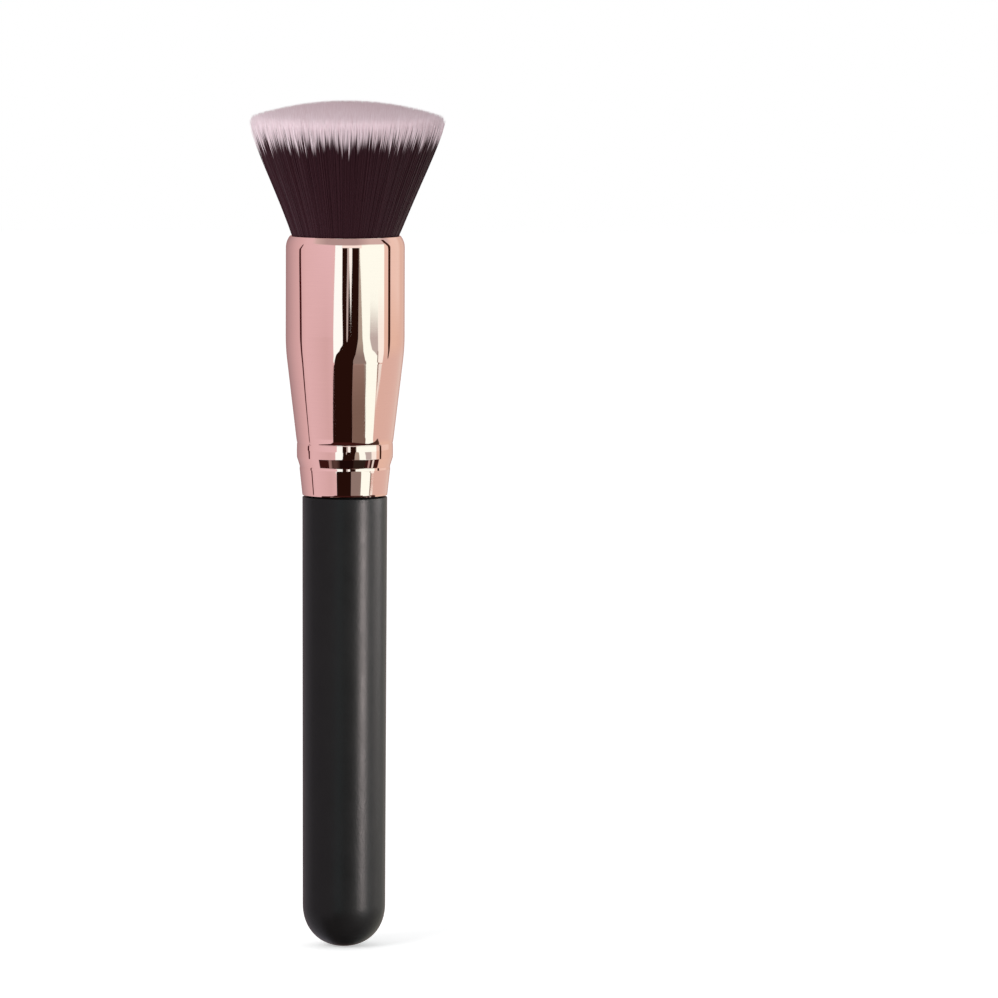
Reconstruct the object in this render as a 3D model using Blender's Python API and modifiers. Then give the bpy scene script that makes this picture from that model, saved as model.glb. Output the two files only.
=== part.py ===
"""A flat top foundation brush: turned handle, drawn metal ferrule and glued head of flared bristles.

All lengths are in metres. The brush stands on the middle of its butt, with its bristles up along +Z.
"""

import math
import random

import bmesh
import bpy

# Gap that separate pieces keep to each other
FIT_GAP = 0.0003

# Handle: a grip with a domed end, and a spigot that goes into the ferrule
GRIP_LENGTH = 0.0879
GRIP_TOP_RADIUS = 0.00825
GRIP_LOW_RADIUS = 0.00805
DOME_LENGTH = 0.0083
BUTT_FLAT_RADIUS = 0.0009
SHOULDER_EDGE_ROUND = 0.0002
SPIGOT_LENGTH = 0.0220
SPIGOT_CHAMFER = 0.0007
GLUE_GROOVE_COUNT = 2
GLUE_GROOVE_PITCH = 0.0026
GLUE_GROOVE_WIDTH = 0.0008
GLUE_GROOVE_DEPTH = 0.0004
GLUE_GROOVE_START = 0.0092

# Ferrule, from its foot on the handle up to its mouth
WALL = 0.0005
SKIRT_HEIGHT = 0.00515
SKIRT_FLARE = 0.00056
GROOVE_HEIGHT = 0.00225
GROOVE_DEPTH = 0.00004
GROOVE_LOW_SHARE = 0.23
GROOVE_ROUND = 0.0006
BAND_HEIGHT = 0.0026
BAND_STEP = 0.00052
BAND_EDGE_ROUND = 0.0003
CRIMP_DEPTH = 0.00010
CRIMP_LEDGE = 0.00015
ROLL_LENGTH = 0.0019
ROLL_STEP = 0.00024
ROLL_POWER = 4
TAPER_LENGTH = 0.0166
BODY_LENGTH = 0.0195
FERRULE_RADIUS = 0.01155
SHOULDER_ROUND = 0.0400
LIP_BEND = 0.0036
LIP_TURN = math.radians(40)
SHEET_EDGE_ROUND = 0.00012
RAW_EDGE_ANGLE = math.radians(70)

# Glue between the spigot and the ferrule's band
GLUE_CLIMB = 0.0048
GLUE_MENISCUS = 0.0005

# Bristle tuft: flared strands on a slice of the glued root
TUFT_HEIGHT = 0.02635
TUFT_RADIUS = 0.0190
DOME_RISE = 0.0031
RIM_ROUND = 0.0008
BACKING_DROP = 0.0020
STRAND_GAP = 0.00024
PINK_LENGTH = 0.0049
PINK_SPREAD_SHARE = 0.3
TRIM_SPREAD = 0.0005
TIP_SHARE = 0.94
BELLY_SHARE = 0.36
STRAND_ROWS = 8
ROW_TWIST = math.radians(18)
SCATTER_SHARE = 0.18

# Glued root of the bristles, its thread and the resin behind it
ROOT_COLLAR = 0.0018
THREAD_RADIUS = 0.00025
THREAD_PITCH = 0.0011
THREAD_TURNS = 4
THREAD_POINTS_PER_TURN = 24
PLUG_LENGTH = 0.0033
PLUG_MENISCUS = 0.0006

# Facets of the turned pieces
VISIBLE_STEPS = 48
HIDDEN_STEPS = 30
SHARP_ANGLE = math.radians(32)
MERGE_DISTANCE = 0.00001
MOST_ROUNDED_SHARE = 0.45

# Places along the axis
ferrule_foot = GRIP_LENGTH + FIT_GAP
groove_base = SKIRT_HEIGHT
band_base = groove_base + GROOVE_HEIGHT
crimp_base = band_base + BAND_HEIGHT
roll_base = crimp_base + CRIMP_LEDGE
taper_base = roll_base + ROLL_LENGTH
body_base = taper_base + TAPER_LENGTH
lip_base = body_base + BODY_LENGTH
lip_height = LIP_BEND * math.sin(LIP_TURN)
lip_centre_radius = FERRULE_RADIUS - LIP_BEND
skirt_top_radius = GRIP_TOP_RADIUS + SKIRT_FLARE
groove_radius = skirt_top_radius - GROOVE_DEPTH
band_radius = skirt_top_radius + BAND_STEP
crimp_radius = band_radius - CRIMP_DEPTH
taper_radius = band_radius + ROLL_STEP
spigot_radius = GRIP_TOP_RADIUS - WALL - FIT_GAP

# Places of the hidden pieces, as heights above the ferrule's foot
thread_diameter = THREAD_RADIUS * 2
thread_length = THREAD_TURNS * THREAD_PITCH + thread_diameter
waist_depth = thread_diameter + FIT_GAP
waist_length = thread_length + FIT_GAP * 2
root_length = waist_length + (waist_depth + ROOT_COLLAR) * 2
root_top = lip_base - BACKING_DROP - FIT_GAP
root_base = root_top - root_length
plug_top = root_base - FIT_GAP
plug_base = plug_top - PLUG_LENGTH


def clear_scene():
    for obj in list(bpy.data.objects):
        bpy.data.objects.remove(obj, do_unlink=True)


def linear(level):
    """One sRGB level from 0 to 255 as linear light."""
    share = level / 255
    if share <= 0.04045:
        return share / 12.92
    return ((share + 0.055) / 1.055) ** 2.4


def finish(name, rgb, roughness, metallic=0.0):
    material = bpy.data.materials.new(name)
    material.use_nodes = True
    shader = material.node_tree.nodes["Principled BSDF"]
    colour = tuple(linear(level) for level in rgb)
    shader.inputs["Base Color"].default_value = (*colour, 1.0)
    shader.inputs["Roughness"].default_value = roughness
    shader.inputs["Metallic"].default_value = metallic
    material.diffuse_color = (*colour, 1.0)
    return material


def black_lacquer():
    return finish("black_lacquer", (44, 43, 43), 0.42)


def rose_gold():
    return finish("rose_gold", (232, 178, 168), 0.08, 1.0)


def dark_fibre():
    return finish("dark_fibre", (50, 27, 33), 0.55)


def pink_fibre():
    return finish("pink_fibre", (222, 200, 209), 0.6)


def glued_fibre():
    return finish("glued_fibre", (44, 30, 30), 0.35)


def waxed_thread():
    return finish("waxed_thread", (226, 219, 203), 0.7)


def clear_resin():
    return finish("clear_resin", (205, 176, 112), 0.15)


def hard_glue():
    return finish("hard_glue", (232, 226, 204), 0.3)


def new_object(name, mesh, height, collection):
    obj = bpy.data.objects.new(name, mesh)
    obj.location.z = height
    collection.objects.link(obj)
    return obj


def freeze(obj):
    """Replaces an object's mesh by its evaluated one, shaded smooth up to sharp edges."""
    graph = bpy.context.evaluated_depsgraph_get()
    mesh = bpy.data.meshes.new_from_object(obj.evaluated_get(graph))
    obj.modifiers.clear()
    obj.data = mesh
    mesh.name = obj.name
    mesh.shade_smooth()
    mesh.set_sharp_from_angle(angle=SHARP_ANGLE)


def arc(centre, radius, start, end, segments):
    """Points (radius from the axis, height) on an arc, with angles from the outward direction."""
    angles = (start + (end - start) * step / segments for step in range(segments + 1))
    return [(centre[0] + radius * math.cos(a), centre[1] + radius * math.sin(a)) for a in angles]


def rounded(corners, segments=3):
    """An outline whose corners (radius, height, rounding) are turned into short curves."""
    outline = [corners[0][:2]]
    for before, here, after in zip(corners, corners[1:], corners[2:]):
        to_before = (before[0] - here[0], before[1] - here[1])
        to_after = (after[0] - here[0], after[1] - here[1])
        run_before = math.hypot(*to_before)
        run_after = math.hypot(*to_after)
        cosine = (to_before[0] * to_after[0] + to_before[1] * to_after[1]) / (run_before * run_after)
        bend = math.pi - math.acos(max(-1.0, min(1.0, cosine)))
        most = min(run_before, run_after) * MOST_ROUNDED_SHARE
        reach = min(here[2] * math.tan(bend / 2), most)
        if reach <= 0:
            outline.append(here[:2])
            continue
        start = [here[i] + to_before[i] / run_before * reach for i in (0, 1)]
        end = [here[i] + to_after[i] / run_after * reach for i in (0, 1)]
        for step in range(segments + 1):
            t = step / segments
            outline.append(
                tuple((1 - t) ** 2 * start[i] + 2 * t * (1 - t) * here[i] + t * t * end[i] for i in (0, 1))
            )
    outline.append(corners[-1][:2])
    return outline


def turned(name, outline, height, collection, material, steps):
    """A piece turned about the Z axis from an outline that runs from its top down its outside."""
    mesh = bpy.data.meshes.new(name)
    points = [(radius, 0, z) for radius, z in outline]
    mesh.from_pydata(points, [(i, i + 1) for i in range(len(points) - 1)], [])
    mesh.materials.append(material)
    obj = new_object(name, mesh, height, collection)
    screw = obj.modifiers.new("Turn", "SCREW")
    screw.steps = steps
    screw.render_steps = steps
    screw.use_merge_vertices = True
    screw.merge_threshold = MERGE_DISTANCE
    screw.use_smooth_shade = True
    return obj


def bore_radius(height):
    """The ferrule's inner radius at a height above its foot, from the taper up to the lip."""
    taper_share = min(max((height - taper_base) / TAPER_LENGTH, 0), 1)
    return taper_radius + (FERRULE_RADIUS - taper_radius) * taper_share - WALL


def spigot_corners():
    """The spigot's outside from its chamfered top down to the shoulder, with grooves that hold glue."""
    top = GRIP_LENGTH + SPIGOT_LENGTH
    corners = [(0, top, 0), (spigot_radius - SPIGOT_CHAMFER, top, 0), (spigot_radius, top - SPIGOT_CHAMFER, 0)]
    for groove in reversed(range(GLUE_GROOVE_COUNT)):
        middle = GRIP_LENGTH + GLUE_GROOVE_START + groove * GLUE_GROOVE_PITCH
        half = GLUE_GROOVE_WIDTH / 2
        corners.append((spigot_radius, middle + half, 0))
        corners.append((spigot_radius - GLUE_GROOVE_DEPTH, middle, 0))
        corners.append((spigot_radius, middle - half, 0))
    corners.append((spigot_radius, GRIP_LENGTH, 0))
    return corners


def make_handle(collection):
    corners = spigot_corners()
    corners.append((GRIP_TOP_RADIUS, GRIP_LENGTH, SHOULDER_EDGE_ROUND))
    flat_angle = math.acos(BUTT_FLAT_RADIUS / GRIP_LOW_RADIUS)
    dome_centre = DOME_LENGTH * math.sin(flat_angle)
    corners.append((GRIP_LOW_RADIUS, dome_centre, 0))
    outline = rounded(corners)
    segments = 10
    for step in range(1, segments + 1):
        angle = flat_angle * step / segments
        outline.append((GRIP_LOW_RADIUS * math.cos(angle), dome_centre - DOME_LENGTH * math.sin(angle)))
    outline.append((0, outline[-1][1]))
    freeze(turned("handle", outline, 0, collection, black_lacquer(), VISIBLE_STEPS))


def roll_corners(segments=3):
    """The taper's lower end, which rolls in ever more steeply to the crimp line."""
    steepness = (FERRULE_RADIUS - taper_radius) / TAPER_LENGTH
    straight_drop = steepness * ROLL_LENGTH
    rolled_drop = taper_radius - straight_drop - crimp_radius
    corners = []
    for step in range(1, segments + 1):
        share = step / segments
        radius = taper_radius - straight_drop * share - rolled_drop * share**ROLL_POWER
        corners.append((radius, taper_base - ROLL_LENGTH * share, 0))
    return corners


def make_ferrule(collection):
    """One sheet of metal: a turned outside made into a shell, with its two raw edges broken."""
    lip = arc((lip_centre_radius, lip_base), LIP_BEND, LIP_TURN, 0, 5)
    groove_middle = groove_base + GROOVE_HEIGHT * GROOVE_LOW_SHARE
    below_lip = [
        (FERRULE_RADIUS, lip_base, 0),
        (FERRULE_RADIUS, body_base, SHOULDER_ROUND),
        (taper_radius, taper_base, 0),
        *roll_corners(),
        (band_radius, crimp_base, 0),
        (band_radius, band_base, BAND_EDGE_ROUND),
        (groove_radius, groove_middle, GROOVE_ROUND),
        (skirt_top_radius, groove_base, BAND_EDGE_ROUND),
        (GRIP_TOP_RADIUS, 0, 0),
    ]
    outline = lip + rounded(below_lip)[1:]
    obj = turned("ferrule", outline, ferrule_foot, collection, rose_gold(), VISIBLE_STEPS)
    shell = obj.modifiers.new("Wall", "SOLIDIFY")
    shell.thickness = WALL
    shell.offset = -1
    shell.use_even_offset = True
    edge = obj.modifiers.new("Sheet edge", "BEVEL")
    edge.width = SHEET_EDGE_ROUND
    edge.segments = 1
    edge.use_clamp_overlap = False
    edge.limit_method = "ANGLE"
    edge.angle_limit = RAW_EDGE_ANGLE
    freeze(obj)


def make_spigot_glue(collection):
    """The collar of hard glue between the spigot and the ferrule's band."""
    inner = spigot_radius + FIT_GAP
    base = band_base
    top = crimp_base + GLUE_CLIMB
    band_fit = band_radius - WALL - FIT_GAP
    outline = [
        (inner, top - GLUE_MENISCUS),
        (bore_radius(top) - FIT_GAP, top),
        (bore_radius(taper_base) - FIT_GAP, taper_base),
        (band_fit - CRIMP_DEPTH * 2, roll_base),
        (band_fit, crimp_base - CRIMP_LEDGE),
        (band_fit, base),
        (inner, base),
        (inner, top - GLUE_MENISCUS),
    ]
    freeze(turned("spigot_glue", outline, ferrule_foot, collection, hard_glue(), HIDDEN_STEPS))


def root_radius():
    return bore_radius(root_base) - FIT_GAP


def make_bristle_root(collection):
    """The packed lower ends of the bristles, drawn in where the thread is wound."""
    outer = root_radius()
    waist = outer - waist_depth
    waist_top = root_top - ROOT_COLLAR - waist_depth
    outline = [
        (0, root_top),
        (outer, root_top),
        (outer, waist_top + waist_depth),
        (waist, waist_top),
        (waist, waist_top - waist_length),
        (outer, waist_top - waist_length - waist_depth),
        (outer, root_base),
        (0, root_base),
    ]
    freeze(turned("bristle_root", outline, ferrule_foot, collection, glued_fibre(), HIDDEN_STEPS))


def straight_on(before, end, length):
    """The point that lies a length past the end, on the line from the point before it."""
    run = math.dist(before, end)
    return tuple(e + (e - b) / run * length for b, e in zip(before, end))


def thread_points():
    """Points along the thread, wound down the root's waist, with its ends straight."""
    radius = root_radius() - THREAD_RADIUS
    start = root_top - ROOT_COLLAR - waist_depth - FIT_GAP - THREAD_RADIUS
    count = THREAD_TURNS * THREAD_POINTS_PER_TURN
    points = []
    for step in range(count + 1):
        turn = step / THREAD_POINTS_PER_TURN
        angle = 2 * math.pi * turn
        points.append((radius * math.cos(angle), radius * math.sin(angle), start - THREAD_PITCH * turn))
    first = straight_on(points[1], points[0], thread_diameter)
    last = straight_on(points[-2], points[-1], thread_diameter)
    return [first, *points, last]


def least_gap(points, diameter, skip):
    """The least distance between a winding's own surfaces, with near neighbours left out."""
    pairs = ((a, b) for i, a in enumerate(points) for b in points[i + skip:])
    return min(math.dist(a, b) for a, b in pairs) - diameter


def make_knot_thread(collection):
    points = thread_points()
    curve = bpy.data.curves.new("knot_thread", "CURVE")
    curve.dimensions = "3D"
    curve.bevel_depth = THREAD_RADIUS
    curve.bevel_resolution = 1
    curve.use_fill_caps = True
    curve.materials.append(waxed_thread())
    spline = curve.splines.new("POLY")
    spline.points.add(len(points) - 1)
    for point, place in zip(spline.points, points):
        point.co = (*place, 1)
    new_object("knot_thread", curve, ferrule_foot, collection)
    gap = least_gap(points, thread_diameter, THREAD_POINTS_PER_TURN // 2)
    print(f"knot thread: least gap to itself {gap * 1000:.2f} mm")


def make_resin_plug(collection):
    """The resin poured behind the root, with a hollow face where it met the air."""
    edge = bore_radius(plug_base) - FIT_GAP
    segments = 5
    face = []
    for step in range(1, segments + 1):
        share = 1 - step / segments
        face.append((edge * share, plug_base + PLUG_MENISCUS * (1 - share * share)))
    outline = [(0, plug_top), (bore_radius(plug_top) - FIT_GAP, plug_top), (edge, plug_base), *face]
    freeze(turned("resin_plug", outline, ferrule_foot, collection, clear_resin(), HIDDEN_STEPS))


def round_off(bm):
    """Pushes the rows of a hexagon of unit size out to circles, each turned a little further."""
    for vert in bm.verts:
        normal = round(math.atan2(vert.co.y, vert.co.x) / math.radians(60)) * math.radians(60)
        row = (vert.co.x * math.cos(normal) + vert.co.y * math.sin(normal)) / math.cos(math.radians(30))
        angle = math.atan2(vert.co.y, vert.co.x) + ROW_TWIST * row
        vert.co.xy = (row * math.cos(angle), row * math.sin(angle))


def scatter(bm, reach, noise):
    """Moves the corners inside a flat mesh, so that its rows aren't even."""
    for vert in bm.verts:
        if not vert.is_boundary:
            vert.co.x += reach * noise.uniform(-1, 1)
            vert.co.y += reach * noise.uniform(-1, 1)


def backing_rows():
    """Radius and height of the slice's side: its edge at the lip, then the bore, then its underside."""
    reach = LIP_BEND - WALL - FIT_GAP
    rows = arc((lip_centre_radius, lip_base), reach, LIP_TURN, 0, 3)
    rows.append((rows[-1][0], lip_base - BACKING_DROP))
    return rows


def tip_height(radius):
    """Height of the trimmed top above the ferrule's foot: a low dome with a rounded rim."""
    share = min(radius / TUFT_RADIUS, 1)
    drop = DOME_RISE * share * share
    into_rim = min(max(radius - (TUFT_RADIUS - RIM_ROUND), 0), RIM_ROUND)
    drop += RIM_ROUND - math.sqrt(RIM_ROUND * RIM_ROUND - into_rim * into_rim)
    return lip_base + lip_height + TUFT_HEIGHT - drop


def flare(share):
    """How far a bristle has opened at a share of its height, from 0 at the root to 1 at the tip."""
    return share + BELLY_SHARE * share**3 * (1 - share)


def raise_strand(bm, face, root_height, spread, noise):
    """Draws one three-sided strand out of its footprint, dark up to its pink tip."""
    middle = face.calc_center_median().xy
    trim = TRIM_SPREAD * noise.random()
    pink = PINK_LENGTH * (1 + PINK_SPREAD_SHARE * noise.uniform(-1, 1))
    tip = tip_height(middle.length * spread) - trim
    border = (tip - pink - root_height) / (tip - root_height)
    scale = 1
    for share, width, colour in [(border, 1.0, 0), (1.0, TIP_SHARE, 1)]:
        face = bmesh.ops.extrude_discrete_faces(bm, faces=[face])["faces"][0]
        for wall in {wall for side in face.edges for wall in side.link_faces}:
            wall.material_index = colour
        opened = 1 + (spread - 1) * flare(share)
        for vert in face.verts:
            place = middle + (vert.co.xy / scale - middle) * width
            vert.co.xy = place * opened
            vert.co.z = root_height + (tip - root_height) * share
        scale = opened


def make_bristle_tuft(collection):
    """A slice of the glued root that carries the flared strands, each on its own footprint."""
    noise = random.Random(7)
    rows = backing_rows()
    top_radius, root_height = rows[0]
    bm = bmesh.new()
    bmesh.ops.create_circle(bm, cap_ends=True, cap_tris=True, segments=6, radius=1)
    bmesh.ops.subdivide_edges(bm, edges=bm.edges[:], cuts=STRAND_ROWS - 1, use_grid_fill=True)
    round_off(bm)
    scatter(bm, SCATTER_SHARE / STRAND_ROWS, noise)
    bmesh.ops.scale(bm, vec=(top_radius, top_radius, 1), verts=bm.verts[:])
    bmesh.ops.translate(bm, vec=(0, 0, root_height), verts=bm.verts[:])
    footprints = bm.faces[:]
    bmesh.ops.inset_individual(bm, faces=footprints, thickness=STRAND_GAP / 2, use_even_offset=True)
    edge_loop = [edge for edge in bm.edges if edge.is_boundary]
    for before, after in zip(rows, rows[1:]):
        grown = bmesh.ops.extrude_edge_only(bm, edges=edge_loop)["geom"]
        edge_loop = [item for item in grown if isinstance(item, bmesh.types.BMEdge) and item.is_boundary]
        verts = [item for item in grown if isinstance(item, bmesh.types.BMVert)]
        ratio = after[0] / before[0]
        bmesh.ops.scale(bm, vec=(ratio, ratio, 1), verts=verts)
        bmesh.ops.translate(bm, vec=(0, 0, after[1] - before[1]), verts=verts)
    bmesh.ops.holes_fill(bm, edges=edge_loop, sides=0)
    bmesh.ops.recalc_face_normals(bm, faces=bm.faces[:])
    spread = TUFT_RADIUS / (top_radius - STRAND_GAP / 2)
    for footprint in footprints:
        raise_strand(bm, footprint, root_height, spread, noise)
    mesh = bpy.data.meshes.new("bristle_tuft")
    bm.to_mesh(mesh)
    bm.free()
    mesh.materials.append(dark_fibre())
    mesh.materials.append(pink_fibre())
    new_object("bristle_tuft", mesh, ferrule_foot, collection)
    print(f"bristle tuft: {len(footprints)} strands")


def main():
    clear_scene()
    collection = bpy.data.collections.new("flat_top_foundation_brush")
    bpy.context.scene.collection.children.link(collection)
    make_handle(collection)
    make_ferrule(collection)
    make_spigot_glue(collection)
    make_bristle_root(collection)
    make_knot_thread(collection)
    make_resin_plug(collection)
    make_bristle_tuft(collection)


main()
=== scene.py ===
"""The look of a flat top foundation brush, built around its CAD model.

Lengths are in metres. The brush stands on its butt at the origin, and the camera looks along +Y, a
little from above.
"""

# %% [markdown]
# # A flat top foundation brush
#
# A foundation brush has three parts that show: a lacquered wooden handle, a drawn metal ferrule and a
# head of soft bristles. The CAD model already holds the true sizes. This notebook loads it as a fixed
# frame and dresses each part: finely turned surfaces, thousands of bristles, and finishes made of nodes.

# %% Load the frame
import math

import bpy
import numpy as np
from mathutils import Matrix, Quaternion, Vector


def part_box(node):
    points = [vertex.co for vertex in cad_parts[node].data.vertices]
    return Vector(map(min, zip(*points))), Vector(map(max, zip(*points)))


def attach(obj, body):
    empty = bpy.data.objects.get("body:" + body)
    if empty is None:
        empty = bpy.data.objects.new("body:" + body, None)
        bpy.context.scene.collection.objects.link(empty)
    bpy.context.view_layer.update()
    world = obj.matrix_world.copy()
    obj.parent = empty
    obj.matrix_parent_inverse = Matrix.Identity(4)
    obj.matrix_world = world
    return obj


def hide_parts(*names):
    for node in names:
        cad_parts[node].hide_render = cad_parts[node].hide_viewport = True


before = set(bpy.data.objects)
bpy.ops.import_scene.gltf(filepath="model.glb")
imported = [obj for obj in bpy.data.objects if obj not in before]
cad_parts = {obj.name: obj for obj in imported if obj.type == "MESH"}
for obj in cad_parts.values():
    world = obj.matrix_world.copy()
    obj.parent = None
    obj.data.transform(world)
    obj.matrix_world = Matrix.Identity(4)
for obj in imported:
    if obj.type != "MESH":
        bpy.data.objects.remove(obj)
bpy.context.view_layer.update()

print("CAD nodes:", ", ".join(sorted(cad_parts)))

# %% [markdown]
# ## Camera
#
# Product photographs are taken from far away with a long lens, so that upright edges stay parallel. The
# distance and the height come from how much the ferrule's rings sag in the photograph. The lens then
# follows from the scale, and the aim point puts the brush left of the middle.

# %% Camera
IMAGE_SIDE = 998
PIXEL = 0.0001945
AXIS_COLUMN = 344.8
BUTT_ROW = 947.5
CAMERA_ROLL = math.radians(0.20)
SENSOR_MM = 36.0
NEAREST_SEEN = 0.01
CAMERA_DISTANCE = 1.70
CAMERA_ELEVATION = math.radians(4.4)


def make_camera():
    data = bpy.data.cameras.new("long_lens")
    data.sensor_width = SENSOR_MM
    data.lens = SENSOR_MM * CAMERA_DISTANCE / (IMAGE_SIDE * PIXEL)
    data.clip_start = NEAREST_SEEN
    camera = bpy.data.objects.new("long_lens", data)
    middle = IMAGE_SIDE / 2
    rise = (BUTT_ROW - middle) * PIXEL / math.cos(CAMERA_ELEVATION)
    aim = Vector(((middle - AXIS_COLUMN) * PIXEL, 0, rise))
    back = Vector((0, -math.cos(CAMERA_ELEVATION), math.sin(CAMERA_ELEVATION)))
    camera.location = aim + CAMERA_DISTANCE * back
    turn = back.to_track_quat("Z", "Y") @ Quaternion((0, 0, 1), CAMERA_ROLL)
    camera.rotation_euler = turn.to_euler()
    bpy.context.scene.collection.objects.link(camera)
    bpy.context.scene.camera = camera
    print(f"lens {data.lens:.0f} mm at {CAMERA_DISTANCE:.2f} m")


make_camera()
bpy.context.scene.view_settings.view_transform = "Standard"

# %% [markdown]
# ## Node helpers
#
# Materials and the room are made of nodes. By hand each would take many clicks, and in a script many lines,
# so a few small helpers keep that readable: one adds a node with its settings and inputs, one does a step
# of arithmetic and two blend. An input is either a plain value or another node's output.

# %% Node helpers


def linear(level):
    """One sRGB level from 0 to 255 as linear light."""
    share = level / 255
    return share / 12.92 if share <= 0.04045 else ((share + 0.055) / 1.055) ** 2.4


def colour(*levels):
    return (*(linear(level) for level in levels), 1.0)


def add(tree, kind, inputs=None, **settings):
    """A new node, with settings for its properties and plain values or links for its inputs."""
    node = tree.nodes.new(kind)
    for name, value in settings.items():
        setattr(node, name, value)
    for key, value in (inputs or {}).items():
        if isinstance(value, bpy.types.NodeSocket):
            tree.links.new(value, node.inputs[key])
        else:
            node.inputs[key].default_value = value
    return node


def calc(tree, operation, *values, clamp=False):
    """The result of one arithmetic step."""
    inputs = dict(enumerate(values))
    return add(tree, "ShaderNodeMath", inputs, operation=operation, use_clamp=clamp).outputs[0]


# A Mix node has a pair of inputs for each kind of data: 2 and 3 take numbers, 6 and 7 colours
def blend_colours(tree, factor, first, second):
    inputs = {"Factor": factor, 6: first, 7: second}
    return add(tree, "ShaderNodeMix", inputs, data_type="RGBA").outputs[2]


def blend_values(tree, factor, first, second):
    return add(tree, "ShaderNodeMix", {"Factor": factor, 2: first, 3: second}).outputs[0]


print(f"level 128 is {linear(128):.3f} in linear light")

# %% [markdown]
# ## The room that the metal mirrors
#
# The ferrule is a mirror, so most of what shows on it is the room: lamp panels, the dark gap between them
# and pale walls. Cards and lamps round the object would do, but they would stand in the way of a camera on
# the other side, so the room is a world shader that only glossy rays see. A mirror shows a point of the
# room where the metal faces halfway between that point and the viewer. The room is laid out by that
# halfway direction, its turn to the right and its tilt upward, so its edges can be read off the photo.
# First come the plain walls, a row of tones from left to right.

# %% Walls of the room
ROSE_GOLD = (0.80, 0.45, 0.39)
VIEW_TURN, VIEW_TILT = 1.0, 3.4
ANY = 90.0

# By the way the metal faces: 0 is to the front, and a positive angle is to the viewer's right
walls = [
    (-90, (184, 142, 136)),
    (-82, (160, 120, 118)),
    (-70, (180, 137, 136)),
    (-58, (202, 154, 152)),
    (-50, (213, 162, 160)),
    (-40, (221, 171, 170)),
    (-14, (226, 176, 176)),
    (35, (228, 180, 160)),
    (58, (227, 179, 159)),
    (76, (222, 182, 166)),
    (84, (198, 157, 147)),
    (90, (184, 142, 136)),
]

print(f"walls: {len(walls)} tones")

# %% [markdown]
# ## What stands in the room
#
# Polished metal gets its stripes from what stands before the walls: two tall lamps with dark edges, a
# doorway with its leaf, a table and something overhead. A studio would use softboxes and black cards. Here
# each is a strip with soft sides, whose left and right side run through a few knots, because the ferrule's
# curves squeeze and bend the picture differently at each tilt. Later strips cover earlier ones.

# %% Strips of the room
# The door leaf and the light on it start alike
door_top = [
    (7.2, 14.3, 14.8), (0.3, 14.4, 14.9), (0.25, 14.3, 15.8), (0.15, 14.1, 16.8), (0.04, 13.8, 17.8),
    (-0.4, 13.5, 18), (-1.8, 12.8, 18.6)]

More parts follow.
